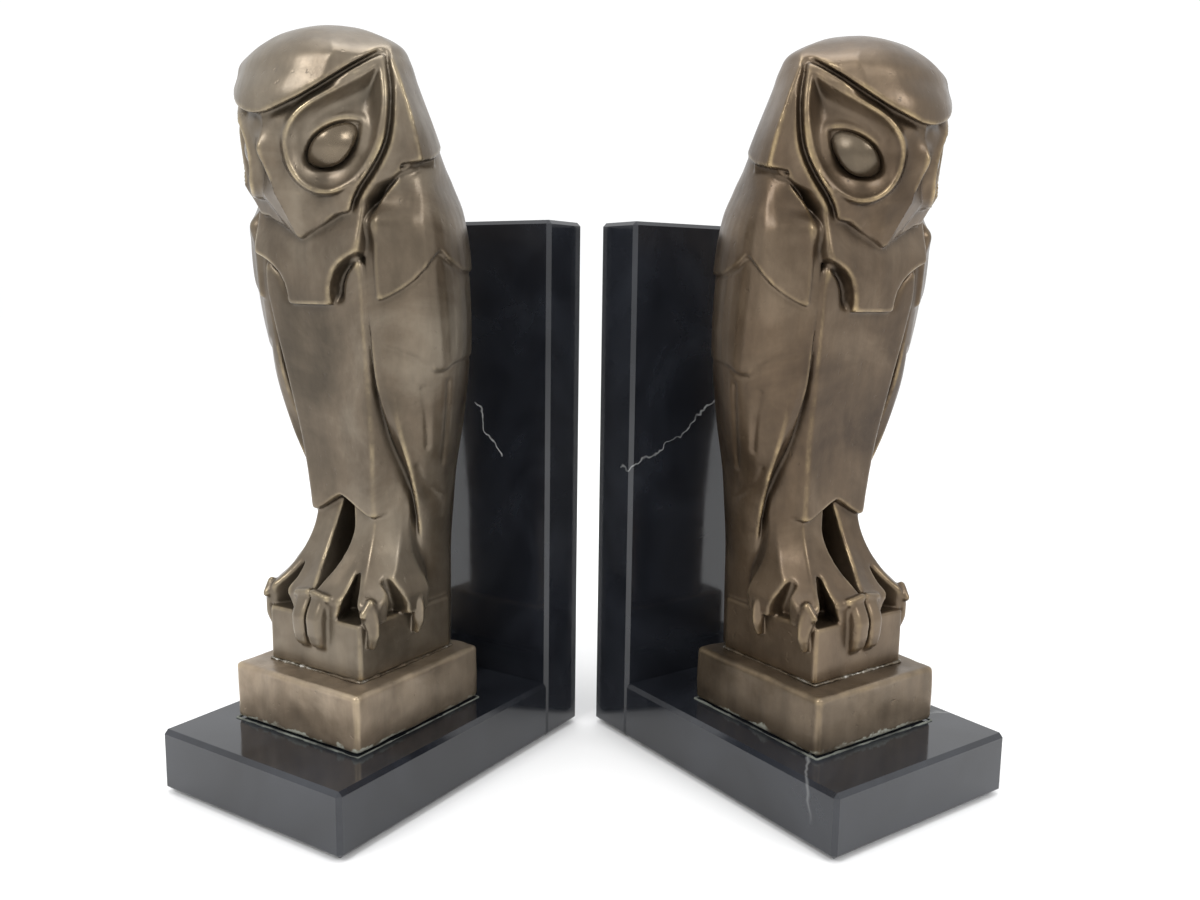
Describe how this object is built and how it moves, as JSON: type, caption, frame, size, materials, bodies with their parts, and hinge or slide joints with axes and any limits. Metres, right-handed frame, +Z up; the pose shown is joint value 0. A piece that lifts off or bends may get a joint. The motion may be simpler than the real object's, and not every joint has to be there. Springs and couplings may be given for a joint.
{
  "type": "book ends",
  "caption": "Pair of book ends: bronze owls perched on stepped plinths, each on an L of polished black marble base and upright slabs.",
  "frame": {"origin": "centre of the pair's footprint, on the surface that the felt stands on", "axes": "+X from the left book end to the right one, +Y from the owls' fronts towards the uprights, +Z up; each book end is turned 33.5 degrees so that the backs of the uprights meet in a V"},
  "size_m": [0.2676, 0.1416, 0.237],
  "materials": {
    "black_marble": "polished black marble with fine white veins",
    "owl_bronze": "brown patinated cast bronze, rubbed lighter on the edges",
    "plinth_bronze": "brown patinated cast bronze, slightly uneven",
    "eye_bronze": "polished brown bronze",
    "solder": "dull grey solder",
    "bedding_adhesive": "matt grey-green set adhesive",
    "seam_glue": "black tinted stone adhesive",
    "zinc_steel": "zinc plated",
    "black_felt": "black wool felt"
  },
  "bodies": {
    "left_bookend": {"left_base_slab": "black_marble", "left_upright_slab": "black_marble", "left_slab_glue_film": "seam_glue", "left_slab_dowels": "zinc_steel", "left_felt_pad": "black_felt", "left_plinth_casting": "plinth_bronze", "left_plinth_bedding": "bedding_adhesive", "left_anchor_bar": "zinc_steel", "left_fixing_washers": "zinc_steel", "left_fixing_bolts": "zinc_steel", "left_owl_casting": "owl_bronze", "left_owl_eyes": "eye_bronze", "left_perch_solder_bead": "solder"},
    "right_bookend": {"right_base_slab": "black_marble", "right_upright_slab": "black_marble", "right_slab_glue_film": "seam_glue", "right_slab_dowels": "zinc_steel", "right_felt_pad": "black_felt", "right_plinth_casting": "plinth_bronze", "right_plinth_bedding": "bedding_adhesive", "right_anchor_bar": "zinc_steel", "right_fixing_washers": "zinc_steel", "right_fixing_bolts": "zinc_steel", "right_owl_casting": "owl_bronze", "right_owl_eyes": "eye_bronze", "right_perch_solder_bead": "solder"}
  },
  "joints": [
    {"name": "bookend_spacing", "type": "slide", "parent": "left_bookend", "child": "right_bookend", "axis": [1, 0, 0], "range_m": [0, 0.35]}
  ]
}
